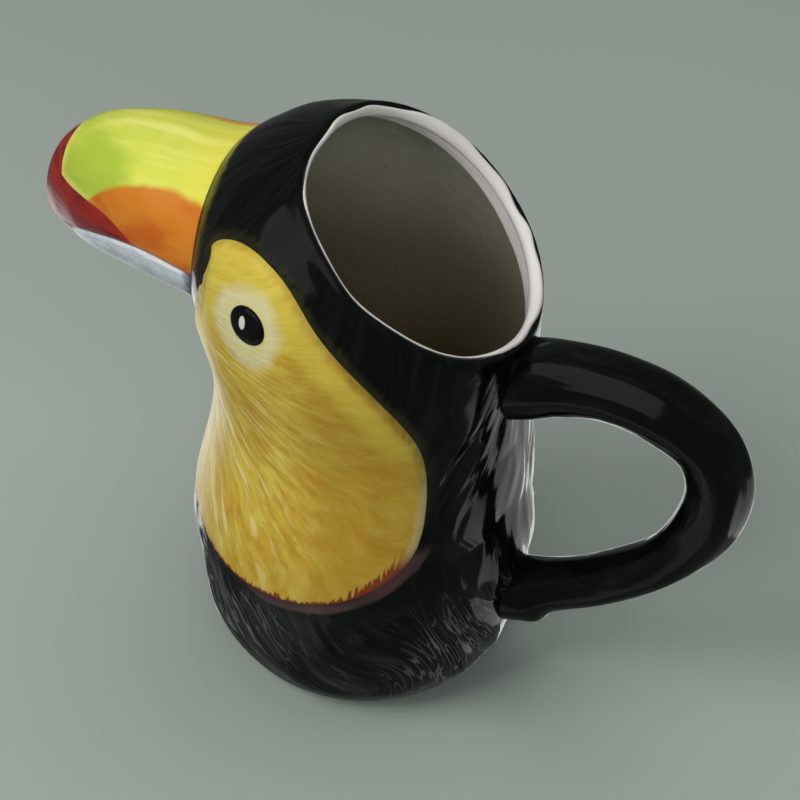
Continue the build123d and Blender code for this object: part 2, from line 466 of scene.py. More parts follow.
def buildBody(material):
    flat, outer, rim, inner = (body[k] for k in ("flatRows", "outerRows", "rimRows", "innerRows"))
    rows = flat + outer + rim + inner + flat
    floorHeight = jug["footHeight"] + jug["floor"]

    def place(spot):
        row, angle = int(round(spot.z)), math.atan2(spot.y, spot.x)
        around = outwardAt(angle)
        top = rimClimb(angle)
        if row < flat:                            # underside, hollowed a little
            share = row / flat
            rise = body["underside"] * (1 - rampUp(share, 0.7, 0.95))
            where = around * jug["footRadius"] * share + Vector((0, 0, jug["footHeight"] + rise))
            return where, around * lieRadius * share, *unpainted
        if row < flat + outer:
            along = top * (row - flat) / outer
            z = levelAfter(along)
            bare = bodyPoint(z, angle, 0)
            fromBib, fromBeak = insideBib(bare), gapFromBeak(bare)
            calm = rampUp(top - along, 1, 9)
            swirl = swirlAt(angle, along)
            out = bodyRelief(swirl, along, z, fromBib, fromBeak) * calm + flareAt(angle, along)
            lie = outwardAt(swirl) * lieRadius + Vector((0, 0, along))
            return bodyPoint(z, angle, out), lie, fromBib, fromBeak
        if row < flat + outer + rim:
            turn = math.pi * (row - flat - outer) / rim
            return rimPoint(angle, turn, 0), around * lieRadius + Vector((0, 0, top)), *unpainted
        if row < flat + outer + rim + inner:
            down = (top - body["cornerInside"]) * (row - flat - outer - rim) / inner
            return innerPoint(angle, down, 0), around * lieRadius, *unpainted
        share = (row - flat - outer - rim - inner) / (flat - 1)
        edge = innerPoint(angle, top - body["cornerInside"], 0)
        where = Vector((edge.x * (1 - share), edge.y * (1 - share), floorHeight))
        if share == 0:
            where.z = floorHeight + body["floorCrown"]
        return where, around, *unpainted

    bm = tubeMesh(rows, body["columns"])
    layOut(bm, place)
    finishPiece("toucan_body", bm, material, ["body"])


def blackGlaze(name, painted):
    p = Paint(name)
    lie = p.attribute("lie", 1)
    spot = p.place()
    x, y, z = p.axes(spot)
    streaks = p.cloud(p.stretch(lie, 0.20, 0.20, 0.05), 1.0, detail=2.0, distortion=0.9)
    patches = p.cloud(spot, 0.045, detail=3.0)
    colour = p.mix(p.band(streaks, 0.42, 0.72), tint(5, 6, 6), tint(15, 18, 19))
    colour = p.mix(p.band(patches, 0.5, 0.75) * 0.6, colour, tint(12, 12, 9))
    if painted:
        edge = p.attribute("edge", 2)
        gap = p.attribute("beakGap", 2)
        ragged = (p.cloud(p.stretch(lie, 1.0, 1.0, 0.35), 0.6, detail=3.0) - 0.5) * 4
        # olive brushed out past the yellow, over the eye and behind the shoulder
        halo = p.band(edge + ragged * 0.9, -1.9, 0.4) * p.band(z, 70, 84)
        halo = halo * (0.35 + 0.65 * p.band(patches, 0.42, 0.58))
        colour = p.mix(halo * 0.55, colour, tint(54, 52, 26))
        # behind the beak a black line, then green that turns orange and brown lower down
        smear = p.band(gap + ragged * 0.15, 0.5, 0.9) * (1 - p.band(gap + ragged * 0.35, 0.9, 2.1))
        smear = smear * p.band(z, 127, 134) * p.band(patches + ragged * 0.05, 0.36, 0.5)
        warm = p.mix(p.band(z + ragged, 138, 145), tint(112, 62, 20), tint(84, 90, 30))
        colour = p.mix(smear * (1 - p.band(edge, -0.6, 0.4)) * 0.85, colour, warm)
        # painted reflection: a mauve band under the yellow, where the bevel of its lower step catches the
        # light
        bevelGlint = p.band(edge + ragged * 0.35, -3.6, -2.2) * (1 - p.band(z, 64, 69)) * p.band(x, -24, -6)
        bevelGlint = bevelGlint * (0.45 + 0.55 * p.band(patches, 0.35, 0.6))
        colour = p.mix(bevelGlint * 0.9, colour, tint(84, 60, 62))
        # painted highlights: thin pale grey strokes low on the belly, mostly at the left, standing in for
        # the glaze's grazing reflections
        strokes = p.cloud(p.stretch(lie, 0.30, 0.30, 0.035), 1.0, detail=1.0, distortion=0.5)
        finer = p.cloud(p.shift(p.stretch(lie, 0.42, 0.42, 0.045), (9.0, 4.0, 2.0)), 1.0, detail=1.0)
        lines = 1 - p.band(abs(strokes - 0.5), 0.006, 0.024)
        lines = lines.above(1 - p.band(abs(finer - 0.5), 0.004, 0.02))
        low = (1 - p.band(z, 28, 50)) * p.band(z, 4, 7) * (1 - p.band(edge, -7.0, -3.0))
        left = 1 - p.band(x, -26, 4)
        right = p.band(x, 20, 36) * 0.5
        sides = (left * 1.2 + right + 0.12).below(1.0)
        lowGlints = lines * low * sides * p.band(patches + left * 0.12, 0.38, 0.56)
        colour = p.mix(lowGlints * 0.72, colour, tint(132, 138, 142))
    sheen = p.cloud(p.stretch(lie, 0.5, 0.5, 0.12), 1.0, detail=2.0)
    # smooth on the head and underneath
    calm = (1 - p.band(z, 112, 140) * 0.85) * p.band(z, 4, 9)
    wide = p.cloud(p.stretch(lie, 0.09, 0.09, 0.03), 1.0, detail=1.0, distortion=0.6)
    relief = (streaks * 0.35 + wide * 1.2) * calm
    return p.finish(Base_Color=colour, Roughness=0.09 + p.band(sheen, 0.3, 0.8) * 0.08,
                    Specular_IOR_Level=0.38, Normal=p.bump(relief, 0.0012, 0.5))


lip = {
    "band": 11.6, "wobble": 1.8, "wave": 24.0, "lift": 0.42, "feather": 0.1, "thickness": 0.25,
    # where it starts, in degrees round the rim from its outer face
    "start": 80.0, "nearThin": 26.0, "ragged": 42.0, "raggedWave": 9.0, "least": 15, "most": 150,
    "bareX": 37.0, "bareY": -21.0, "bareWidth": 9.0, "bareTurn": 45,      # it ran off the rim here
    "rows": 44, "columns": 288,
}


def buildLip(material):
    rimArc = math.pi * jug["rimRadius"]

    def place(spot):
        share, angle = spot.z / (lip["rows"] - 1), math.atan2(spot.y, spot.x)
        around = outwardAt(angle)
        rim = rimPoint(angle, math.pi / 2, 0)
        nearSide = -rim.y / jug["headRadius"]
        away = (rim.x - lip["bareX"]) ** 2 + (rim.y - lip["bareY"]) ** 2
        start = lip["start"] + lip["nearThin"] * nearSide
        start += lip["ragged"] * noise.noise(rim / lip["raggedWave"])
        start += lip["bareTurn"] * math.exp(-away / lip["bareWidth"] ** 2)
        start = math.radians(min(max(start, lip["least"]), lip["most"]))
        width = lip["band"] + lip["wobble"] * noise.noise(rim / lip["wave"])
        startArc = start * jug["rimRadius"]
        arc = startArc + (rimArc - startArc + width) * share
        fromStart = arc - startArc
        lift = lip["lift"] * rampUp(fromStart, 0, 0.5) - lip["feather"] * (1 - rampUp(fromStart, 0, 0.3))
        lift -= (lip["lift"] - lip["feather"]) * rampUp(arc, rimArc + width - 0.9, rimArc + width)
        if arc < rimArc:
            where = rimPoint(angle, arc / jug["rimRadius"], lift)
        else:
            where = innerPoint(angle, arc - rimArc, lift)
        lie = around * lieRadius + Vector((0, 0, arc))
        return where, lie, width - arc + rimArc, unpainted[1]

    bm = tubeMesh(lip["rows"], lip["columns"])
    layOut(bm, place)
    inside = Vector((10, 0, 175))
    finishPiece("white_lip", bm, material, ["lip_glaze"],
                inside=inside, thickness=lip["thickness"])


def whiteGlaze():
    p = Paint("white_glaze")
    lie = p.attribute("lie", 1)
    edge = p.attribute("edge", 2)
    patches = p.cloud(p.stretch(lie, 0.07, 0.07, 0.2), 1.0, detail=3.0)
    colour = p.mix(p.band(patches, 0.35, 0.7), tint(250, 246, 242), tint(238, 234, 228))
    # painted light: the rim's top is painted greyer than the band inside it, which gets less light, so that
    # both look equally bright
    greyerTop = p.band(edge, 9.5, 13.5)
    colour = p.mix(greyerTop, colour, p.mix(patches, tint(222, 218, 214), tint(204, 199, 193)))
    grain = p.cloud(lie, 0.9, detail=2.0)
    thin = 1 - p.band(edge + (grain - 0.5) * 1.2, 0.0, 0.9)    # the dark glaze shows through its lower edge
    colour = p.mix(thin * 0.75, colour, tint(120, 116, 106))
    return p.finish(Base_Color=colour, Roughness=0.16 + grain * 0.12, Specular_IOR_Level=0.45,
                    Normal=p.bump(patches, 0.0008, 0.5))


liner = {"under": 2.0, "lift": 0.2, "thickness": 0.15, "floorRows": 8, "rows": 64, "columns": 144,
         "corner": 11, "floorLift": 0.5, "lieRadius": 40}


def buildLiner(material):
    wallRows = liner["rows"] - liner["floorRows"]
    floorHeight = jug["footHeight"] + jug["floor"] + liner["floorLift"]

    def place(spot):
        row, angle = int(round(spot.z)), math.atan2(spot.y, spot.x)
        around = outwardAt(angle)
        top = rimClimb(angle)
        start = lip["band"] - liner["under"]
        if row < wallRows:
            down = start + (top - liner["corner"] - start) * row / (wallRows - 1)
            lie = around * liner["lieRadius"] + Vector((0, 0, down))
            return innerPoint(angle, down, liner["lift"]), lie, 0, unpainted[1]
        share = (row - wallRows + 1) / liner["floorRows"]
        edge = innerPoint(angle, top - liner["corner"], liner["lift"])
        sink = rampUp(share, 0, 0.3)
        height = edge.z * (1 - sink) + floorHeight * sink
        where = Vector((edge.x * (1 - share), edge.y * (1 - share), height))
        lie = around * liner["lieRadius"] * (1 - share) + Vector((0, 0, top))
        return where, lie, 0, unpainted[1]

    bm = tubeMesh(liner["rows"], liner["columns"])
    layOut(bm, place)
    finishPiece("inside_glaze", bm, material, ["interior_glaze"],
                inside=Vector((3, 0, 60)), thickness=liner["thickness"])


def oliveGlaze():
    p = Paint("olive_glaze")
    spot = p.place()
    z = p.axes(spot)[2]
    patches = p.cloud(spot, 0.05, detail=4.0, roughness=0.55)
    colour = p.mix(p.band(patches, 0.3, 0.75), tint(150, 149, 133), tint(138, 136, 119))
    # painted shade: darker from the top down towards mid height
    colour = p.mix(1 - p.band(z, 105, 140), colour, tint(110, 104, 88))
    # painted light: lighter again deep down, making up for the little light that reaches the bottom of the
    # cup
    colour = p.mix(1 - p.band(z, 72, 105), colour, tint(150, 136, 108))
    speck = p.band(p.cloud(spot, 0.7, detail=2.0), 0.68, 0.78)
    colour = p.mix(speck * 0.35, colour, tint(70, 58, 42))
    return p.finish(Base_Color=colour, Roughness=0.5 + patches * 0.15, Specular_IOR_Level=0.25,
                    Normal=p.bump(p.cloud(spot, 0.35, detail=3.0), 0.0006, 0.5))


bibSheet = {"rows": 190, "columns": 190, "lowest": 43.0, "highest": 156.0, "spread": 138.0,
            "strokeDepth": 0.16, "wall": 1.4, "keepWithin": 2.6}


def buildBib(material):
    def place(spot):
        angle = math.pi + math.radians(bibSheet["spread"]) * spot.x
        z = bibSheet["lowest"] + (bibSheet["highest"] - bibSheet["lowest"]) * (spot.y + 1) / 2
        bare = bodyPoint(z, angle, 0)
        fromBeak = gapFromBeak(bare)
        inside = min(insideBib(bare), fromBeak - bib["margin"])
        # the lower edge is a clear step, the upper edge a soft one
        soft = ease(1.1, 3.6, (z - 70) / 30)
        out = bib["sink"] + (bib["raise"] - bib["sink"]) * rampUp(inside, -soft * 0.45, soft)
        along = climbTo(z)
        out += bibSheet["strokeDepth"] * strands(angle, along, 4, 26, 3) * rampUp(inside, 0, 4)
        lie = outwardAt(angle) * lieRadius + Vector((0, 0, along))
        return bodyPoint(z, angle, out), lie, inside, fromBeak

    bm = sheetMesh(bibSheet["rows"], bibSheet["columns"])
    layOut(bm, place)
    edge = bm.verts.layers.float["edge"]
    outside = [f for f in bm.faces if all(v[edge] < -bibSheet["keepWithin"] for v in f.verts)]
    bmesh.ops.delete(bm, geom=outside, context="FACES")
    finishPiece("yellow_breast", bm, material, ["breast_bib"],
                inside=Vector((3, 0, 90)), thickness=bibSheet["wall"])


def yellowGlaze():
    p = Paint("yellow_glaze")
    spot = p.place()
    lie = p.attribute("lie", 1)
    edge = p.attribute("edge", 2)
    x, y, z = p.axes(spot)
    # brush strokes fan out from the throat, towards the back and down
    back = x + 50
    down = 132 - z
    turn = p.node("Math", {"operation": "ARCTAN2"}, {0: down, 1: back})
    reach = (back * back + down * down) ** 0.5
    warp = (p.cloud(spot, 0.05, detail=1.0) - 0.5) * 0.14
    fan = p.vector((turn + warp) * 16.0, reach * 0.055, y * 0.02)
    strokes = p.cloud(fan, 1.0, detail=3.0, roughness=0.55)
    hairs = p.cloud(p.stretch(fan, 2.1, 1.3, 1.0), 1.0, detail=3.0)
    blots = p.cloud(spot, 0.07, detail=4.0, roughness=0.6)
    dabs = p.cloud(p.stretch(fan, 1.6, 2.2, 1.0), 1.0, detail=4.0, roughness=0.6)
    colour = p.mix(p.band(strokes, 0.36, 0.66), tint(198, 163, 52), tint(206, 181, 72))
    colour = p.mix(p.band(blots, 0.46, 0.66) * 0.6, colour, tint(184, 148, 50))
    colour = p.mix(p.band(dabs, 0.5, 0.64) * 0.6, colour, tint(176, 134, 34))
    colour = p.mix((1 - p.band(dabs, 0.36, 0.47)) * 0.55, colour, tint(212, 196, 92))
    orange = p.cloud(p.shift(p.stretch(fan, 1.2, 0.9, 1.0), (7.0, 3.0, 0.0)), 1.0, detail=3.0)
    colour = p.mix(p.band(orange, 0.56, 0.68) * p.band(down, 8, 30) * 0.5, colour, tint(190, 126, 36))
    # painted shade: a darker gold towards the back, away from the light
    colour = p.mix(p.band(x + blots * 20, 4, 24) * 0.6, colour, tint(166, 126, 34))
    cream = p.band(hairs, 0.57, 0.66) * (1 - p.band(back, 24, 62)) * p.band(down, 2, 14)
    colour = p.mix(cream * 0.75, colour, tint(232, 218, 158))
    front = 1 - p.band(back, 4, 32)
    colour = p.mix(front * 0.75, colour, tint(232, 218, 156))
    # lighter band under the upper border
    crest = p.band(edge, 1.5, 4) * (1 - p.band(edge, 6, 11)) * p.band(z, 92, 108)
    colour = p.mix(crest * 0.5, colour, tint(214, 196, 74))
    colour = p.mix((1 - p.band(z, 52, 74)) * 0.3, colour, tint(170, 132, 42))
    colour = p.mix(p.band(z, 128, 138) * 0.35, colour, tint(180, 162, 62))
    # pale ring round the eye
    ringShape = (p.cloud(spot, 0.16, detail=2.0) - 0.5) * 5
    away = p.away(p.vector(x, abs(y), z), -11.3, 43.0, 134.6) + ringShape
    ring = 1 - p.band(away, 8.2, 12.8)
    colour = p.mix(ring * 0.85, colour, tint(204, 200, 158))
    inner = p.band(away, 5.0, 6.2) * (1 - p.band(away, 6.4, 8.2))
    colour = p.mix(inner * 0.35, colour, tint(206, 192, 96))
    # the border: olive and black brushed in above, a red fringe of fine strokes below
    ragged = (p.cloud(p.stretch(lie, 1.0, 1.0, 0.5), 0.7, detail=3.0) - 0.5) * 3.4
    high = p.band(z, 66, 78)
    broadly = 0.35 + 0.65 * p.band(z, 78, 92) * (1 - p.band(z, 128, 140))
    rim = (1 - p.band(edge + ragged, 0.2, 3.0)) * high * broadly
    colour = p.mix(rim * 0.8, colour, tint(112, 102, 44))
    colour = p.mix((1 - p.band(edge + ragged * 0.8, -0.8, 0.9)) * high, colour, tint(24, 24, 15))
    # painted highlight: a pale line along the raised lower back edge of the yellow
    pale = p.band(edge, 0.2, 0.9) * (1 - p.band(edge + ragged * 0.5, 1.6, 3.2)) * p.band(x, 22, 29)
    colour = p.mix(pale * (1 - p.band(z, 84, 96)) * 0.5, colour, tint(196, 188, 140))
    spikes = p.cloud(p.stretch(lie, 1.3, 1.3, 0.10), 1.0, detail=2.0)
    spikes = spikes * (5.5 + 3.5 * p.band(x, 8, 24)) - 1.6
    fringe = (1 - p.band(edge - spikes, 0.3, 0.9)) * (1 - p.band(z, 62, 70))
    colour = p.mix(fringe * 0.92, colour, tint(122, 40, 26))
    # painted reflection: mauve along the bevel of the lower step, where it catches the light
    colour = p.mix((1 - p.band(edge, -0.3, 0.5)) * (1 - high), colour, tint(84, 52, 48))
    return p.finish(Base_Color=colour, Roughness=0.26 + strokes * 0.16, Specular_IOR_Level=0.35,
                    Normal=p.bump(hairs + strokes * 0.6, 0.0005, 0.5))


beakSheet = {"rows": 96, "columns": 84, "least": 0.15, "lieRadius": 20}


def beakPoint(share, angle, inset):
    halfWidth, halfHeight, middle = beakOval(share)
    x = beak["rootX"] - share * beak["length"]
    halfWidth, halfHeight = max(halfWidth - inset, 0), max(halfHeight - inset, 0)
    return Vector((x, halfWidth * math.cos(angle), middle + halfHeight * math.sin(angle)))


def gapeAngle(share):
    halfHeight, middle = beakOval(share)[1:]
    lift = (gapeHeight(share) - middle) / max(halfHeight, 0.01)
    return math.asin(min(max(lift, -1), 1))


def buildBeakHalf(name, upper, material, node):
    end = 1.0
    if not upper:                     # the lower half ends where the gape leaves the underside
        def underside(share):
            halfHeight, middle = beakOval(share)[1:]
            return gapeHeight(share) - middle + halfHeight - beakSheet["least"]

        end = solveFor(underside, 0.6, 1.0)

    def angleAt(share, across):
        low = gapeAngle(share)
        if upper:
            return low + (math.pi - 2 * low) * across
        return math.pi - low + (math.pi + 2 * low) * across

    @functools.cache
    def rootAt(across):               # each row starts just under the surface of the head

        def inWall(share):
            return depthInBody(beakPoint(share, angleAt(share, across), 0)) - beak["bury"]

        return solveFor(inWall, 0.02, 0.6)

    def place(spot):
        across = (1 - math.cos(math.pi * (spot.x + 1) / 2)) / 2
        along = (spot.y + 1) / 2
        start = rootAt(round(across, 5))
        share = start + (end - start) * math.sin(math.pi / 2 * along)
        halfWidth, halfHeight = beakOval(share)[:2]
        fromEdge = min(across, 1 - across) * math.pi * (halfWidth + halfHeight) / 2
        inset = beak["groove"] * (1 - rampUp(fromEdge, 0, beak["grooveWidth"]))
        angle = angleAt(share, across)
        spread = Vector((share * 9, math.cos(angle) * 2.2, math.sin(angle) * 2.2))
        inset -= beak["planes"] * noise.noise(spread)
        where = beakPoint(share, angle, inset * min(1, halfWidth / beak["smallTip"]))
        return where, Vector((share * beak["length"], angle * beakSheet["lieRadius"], 0)), fromEdge, 0

    bm = sheetMesh(beakSheet["rows"], beakSheet["columns"])
    layOut(bm, place)
    middleOfBeak = Vector((-60, 0, 134 if upper else 131))
    finishPiece(name, bm, material, [node], inside=middleOfBeak, thickness=beak["wall"])


def upperBeakGlaze():
    p = Paint("upper_beak_glaze")
    spot = p.place()
    x, y, z = p.axes(spot)
    wobble = (p.cloud(spot, 0.12, detail=3.0) - 0.5) * 2.4
    brush = p.cloud(p.stretch(spot, 0.03, 0.22, 0.22), 1.0, detail=4.0, distortion=0.4)
    soft = p.cloud(spot, 0.05, detail=3.0)
    colour = p.mix(p.band(brush, 0.35, 0.68), tint(202, 206, 76), tint(216, 216, 100))
    middleSpot = (1 - p.band(abs(x + 70), 2, 20)) * (1 - p.band(abs(z - 145), 2, 10))
    green = p.band(soft * 0.6 + brush * 0.4 + middleSpot * 0.26, 0.40, 0.70)
    green = green * (1 - p.band(z + wobble, 152, 158)) * (1 - p.band(x, -52, -40))
    colour = p.mix(green * 0.85, colour, tint(154, 180, 54))
    # painted highlight: a pale streak along the top ridge
    streak = p.cloud(p.stretch(spot, 0.02, 0.3, 0.3), 1.0, detail=2.0)
    colour = p.mix(p.band(streak, 0.48, 0.7) * p.band(z, 149, 155) * 0.6, colour, tint(230, 226, 128))
    base = p.band(x + wobble, -50, -34)
    colour = p.mix(base * 0.55, colour, tint(222, 208, 80))
    # orange side, rounded off towards the tip
    run = ((-36.0 - x) / 35.0).above(0.0)
    top = 148.5 - run ** 3.2 * 11.0
    orange = p.band(top - z + wobble * 0.7, -0.9, 0.7)
    deep = p.band(p.cloud(p.stretch(spot, 0.06, 0.1, 0.1), 1.0, detail=3.0), 0.42, 0.7)
    side = p.mix(deep, tint(198, 120, 36), tint(186, 92, 26))
    colour = p.mix(orange, colour, side)
    over = p.band(y, 9, 13) * p.band(z, 144, 150) * p.band(x, -58, -44)
    colour = p.mix(over * 0.85, colour, tint(214, 138, 52))
    # red edge and tip, with a cream line inside it
    along = (-54.5 - x).above(0.0)
    low = 131.6 + (1 - p.node("Math", {"operation": "EXPONENT"}, {0: along * (-1 / 7)})) * 6.1 - z
    bend = z - 141.5
    front = -83.4 - x + bend * bend * 0.033
    wavy = wobble * 0.22
    inRed = low.above(front) + wavy
    cream = p.band(inRed, -2.0, -0.6) * (1 - p.band(x, -76, -66))
    colour = p.mix(cream * 0.6, colour, tint(226, 206, 112))
    red = p.band(inRed, -0.25, 0.25)
    dark = p.band(p.cloud(p.stretch(spot, 0.12, 0.2, 0.5), 1.0, detail=3.0), 0.45, 0.62)
    redPaint = p.mix(dark * 0.8, tint(150, 38, 30), tint(96, 30, 30))
    # painted highlight: mauve towards the outer edge of the red
    mauve = p.band(inRed + wobble * 0.6, 5.0, 8.0)
    redPaint = p.mix(mauve * 0.4, redPaint, tint(120, 70, 72))
    colour = p.mix(red, colour, redPaint)
    # painted shade: darkened along the gape, in the groove between the two halves
    edge = p.attribute("edge", 2)
    colour = p.mix((1 - p.band(edge, 0.15, 0.8)) * 0.7, colour, tint(46, 30, 24))
    return p.finish(Base_Color=colour, Roughness=0.24 + brush * 0.14, Specular_IOR_Level=0.4,
                    Normal=p.bump(brush + soft * 0.5, 0.0007, 0.45))


def lowerBeakGlaze():
    p = Paint("lower_beak_glaze")
    spot = p.place()
    x, y, z = p.axes(spot)
    brush = p.cloud(p.stretch(spot, 0.09, 0.5, 0.6), 1.0, detail=4.0, distortion=0.8)
    soft = p.cloud(spot, 0.09, detail=3.0)
    colour = p.mix(p.band(brush, 0.35, 0.66), tint(192, 202, 216), tint(218, 220, 224))
    colour = p.mix(p.band(soft, 0.5, 0.7) * 0.5, colour, tint(180, 192, 210))
    warm = 1 - p.band(z + soft * 4, 115, 123)
    colour = p.mix(warm * 0.6, colour, tint(214, 206, 184))
    tip = 1 - p.band(x + soft * 3, -80, -77)
    colour = p.mix(tip * 0.9, colour, tint(128, 42, 34))
    smudge = p.band(x + (soft - 0.5) * 8, -38.5, -36.0)
    colour = p.mix(smudge * 0.85, colour, tint(34, 36, 38))
    return p.finish(Base_Color=colour, Roughness=0.22 + brush * 0.12, Specular_IOR_Level=0.45,
                    Normal=p.bump(brush, 0.0006, 0.5))


eye = {"halfLength": 5.4, "halfHeight": 4.7, "raise": 1.3, "angle": 257.7, "height": 135.5, "sink": 1.2,
       "domeRows": 16, "rows": 21, "columns": 64}


def buildEye(name, side, material, node):
    centreAngle = math.radians(eye["angle"]) * side

    def place(spot):
        row, turn = int(round(spot.z)), math.atan2(spot.y, spot.x)
        if row < eye["domeRows"]:
            share = math.sin(math.pi / 2 * row / (eye["domeRows"] - 1))
            height = eye["raise"] * math.sqrt(max(1 - share ** 2.4, 0))
        else:                         # down into the coat and closed underneath
            step = (row - eye["domeRows"] + 1) / (eye["rows"] - eye["domeRows"])
            share = 1 if step < 0.5 else 2 * (1 - step)
            height = -eye["sink"] * min(step * 2, 1)
        around = eye["halfLength"] * share * math.cos(turn) / jug["headRadius"]
        rise = eye["halfHeight"] * share * math.sin(turn)
        where = bodyPoint(eye["height"] + rise, centreAngle + around, bib["raise"] + height)
        return where, outwardAt(turn) * share, 0, unpainted[1]

    bm = tubeMesh(eye["rows"], eye["columns"])
    layOut(bm, place)
    finishPiece(name, bm, material, [node])


def eyeGlaze():
    p = Paint("eye_glaze")
    spot = p.place()
    x, y, z = p.axes(spot)
    glint = ((x + 11.3) / 0.9) ** 2.0 + ((z - 137.0) / 1.65) ** 2.0
    grain = p.cloud(spot, 0.8, detail=2.0)
    colour = p.mix(p.band(grain, 0.4, 0.8), tint(9, 9, 8), tint(18, 18, 17))
    colour = p.mix(1 - p.band(glint, 0.8, 1.25), colour, tint(196, 196, 186))
    return p.finish(Base_Color=colour, Roughness=0.09 + grain * 0.08, Specular_IOR_Level=0.35,
                    Normal=p.bump(grain, 0.0002, 0.4))


handle = {
    "reach": 100.4, "top": 110.8, "upperRoot": 104.5, "lowerRoot": 29.5,
    "upperRadius": 9.3, "bendRadius": 8.5, "lowerRadius": 7.3, "flare": 2.6,
    "inWall": 9.0, "bury": 1.7, "rootSearch": 34, "rows": 230, "columns": 72,
    "ridge": 0.30, "ridges": 4, "ridgeTwist": 70, "ridgeDrift": 0.9, "dent": 0.45,
    "luting": 1.9, "lutingAt": 9, "lutingWidth": 3.2, "lieRadius": 8,
}


def handlePath():                     # rows of (distance along, x, z, radius)
    h = handle
    upperX = bodyCentre(h["upperRoot"]) + bodyRadius(h["upperRoot"])
    lowerX = bodyCentre(h["lowerRoot"]) + bodyRadius(h["lowerRoot"])
    span, rise, fall = h["reach"] - upperX, h["top"] - h["upperRoot"], h["top"] - h["lowerRoot"]
    top = h["top"]
    stations = [
        (upperX - h["inWall"], h["upperRoot"] - 0.2 * rise, h["upperRadius"] + 0.9 * h["flare"]),
        (upperX, h["upperRoot"] + 0.2 * rise, h["upperRadius"] + 0.6 * h["flare"]),
        (upperX + 0.17 * span, top - 0.30 * rise, h["upperRadius"] + 0.30 * h["flare"]),
        (upperX + 0.42 * span, top, h["upperRadius"] + 0.04 * h["flare"]),
        (upperX + 0.70 * span, top - 0.03 * fall, h["upperRadius"]),
        (upperX + 0.92 * span, top - 0.12 * fall, h["bendRadius"]),
        (h["reach"], top - 0.27 * fall, h["bendRadius"]),
        (upperX + 0.945 * span, top - 0.46 * fall, h["bendRadius"]),
        (upperX + 0.76 * span, top - 0.66 * fall, h["lowerRadius"]),
        (upperX + 0.46 * span, top - 0.83 * fall, h["lowerRadius"]),
        (upperX + 0.20 * span, top - 0.93 * fall, h["lowerRadius"] + 0.1 * h["flare"]),
        (lowerX, h["lowerRoot"], h["lowerRadius"] + 0.8 * h["flare"]),
        (lowerX - h["inWall"], h["lowerRoot"] - 0.02 * fall, h["lowerRadius"] + h["flare"]),
    ]
    rows, distance = [], 0
    for i, (x, z, radius) in enumerate(stations):
        if i:
            distance += math.dist((x, z), stations[i - 1][:2])
        rows.append((distance, x, z, radius))
    return rows


def buildHandle(material):
    path = handlePath()
    length = path[-1][0]

    def handlePoint(at, angle, out):
        x, z, radius = (curveThrough(path, at, i) for i in (1, 2, 3))
        nextX, nextZ = (curveThrough(path, at + 0.5, i) for i in (1, 2))
        ahead = Vector((nextX - x, 0, nextZ - z)).normalized()
        over = Vector((-ahead.z, 0, ahead.x))
        across = Vector((0, 1, 0))
        return Vector((x, 0, z)) + (over * math.sin(angle) + across * math.cos(angle)) * (radius + out)

    @functools.cache
    def rootsAt(angle):               # each end stops just under the surface of the body

        def inUpper(at):
            return depthInBody(handlePoint(at, angle, 0)) - handle["bury"]

        def inLower(at):
            return depthInBody(handlePoint(length - at, angle, 0)) - handle["bury"]

        furthest = handle["rootSearch"]
        return solveFor(inUpper, 0, furthest), length - solveFor(inLower, 0, furthest)

    def place(spot):
        share, angle = spot.z / (handle["rows"] - 1), math.atan2(spot.y, spot.x)
        first, last = rootsAt(round(angle, 4))
        at = first + (last - first) * share
        around = outwardAt(angle)
        calm = rampUp(at - first, 1, 12) * rampUp(last - at, 1, 9)
        drift = handle["ridgeDrift"] * noise.noise(Vector((0, 0, at / 36)))
        ridges = math.cos(handle["ridges"] * angle + at / handle["ridgeTwist"] + drift) * handle["ridge"]
        dents = handle["dent"] * noise.noise(around * 1.6 + Vector((0, 0, at / 26)))
        # slip squeezed out under the lower root
        lump = math.exp(-((last - at - handle["lutingAt"]) / handle["lutingWidth"]) ** 2)
        luting = handle["luting"] * lump * max(math.sin(angle), 0) ** 2
        where = handlePoint(at, angle, (ridges + dents) * calm + luting * (at > length / 2))
        return where, around * handle["lieRadius"] + Vector((0, 0, at)), *unpainted

    bm = tubeMesh(handle["rows"], handle["columns"])
    layOut(bm, place)
    ends = [e for e in bm.edges if e.is_boundary]
    bmesh.ops.holes_fill(bm, edges=ends)
    finishPiece("loop_handle", bm, material, ["handle"])


foot = {"taperOut": 0.6, "taperIn": 0.3, "round": 0.5, "uneven": 0.004, "columns": 160}


def buildFoot(material):
    outer, width, height = jug["footRadius"], jug["footWidth"], jug["footHeight"]
    bm = bmesh.new()
    corners = [(outer - width, 0), (outer - foot["taperOut"], 0),
               (outer, height), (outer - width - foot["taperIn"], height)]
    section = bm.faces.new([bm.verts.new((x, 0, z)) for x, z in corners])
    edges = section.edges[:]
    bmesh.ops.delete(bm, geom=[section], context="FACES_ONLY")
    bmesh.ops.spin(bm, geom=bm.verts[:] + edges, cent=(0, 0, 0), axis=(0, 0, 1),
                   angle=math.tau, steps=foot["columns"], use_merge=True)
    bmesh.ops.remove_doubles(bm, verts=bm.verts, dist=mergeDistance)
    hoops = [e for e in bm.edges if abs(e.verts[0].co.z - e.verts[1].co.z) < 1e-5
             and abs(e.verts[0].co.xy.length - e.verts[1].co.xy.length) < 1e-3]
    bmesh.ops.bevel(bm, geom=hoops, offset=foot["round"], affect="EDGES",
                    segments=3, profile=0.5, material=-1)
    for v in bm.verts:                # wiped by hand, so it isn't perfectly even
        v.co.xy *= 1 + foot["uneven"] * noise.noise(v.co * 0.12)
    finishPiece("foot_clay", bm, material, ["foot_ring"])


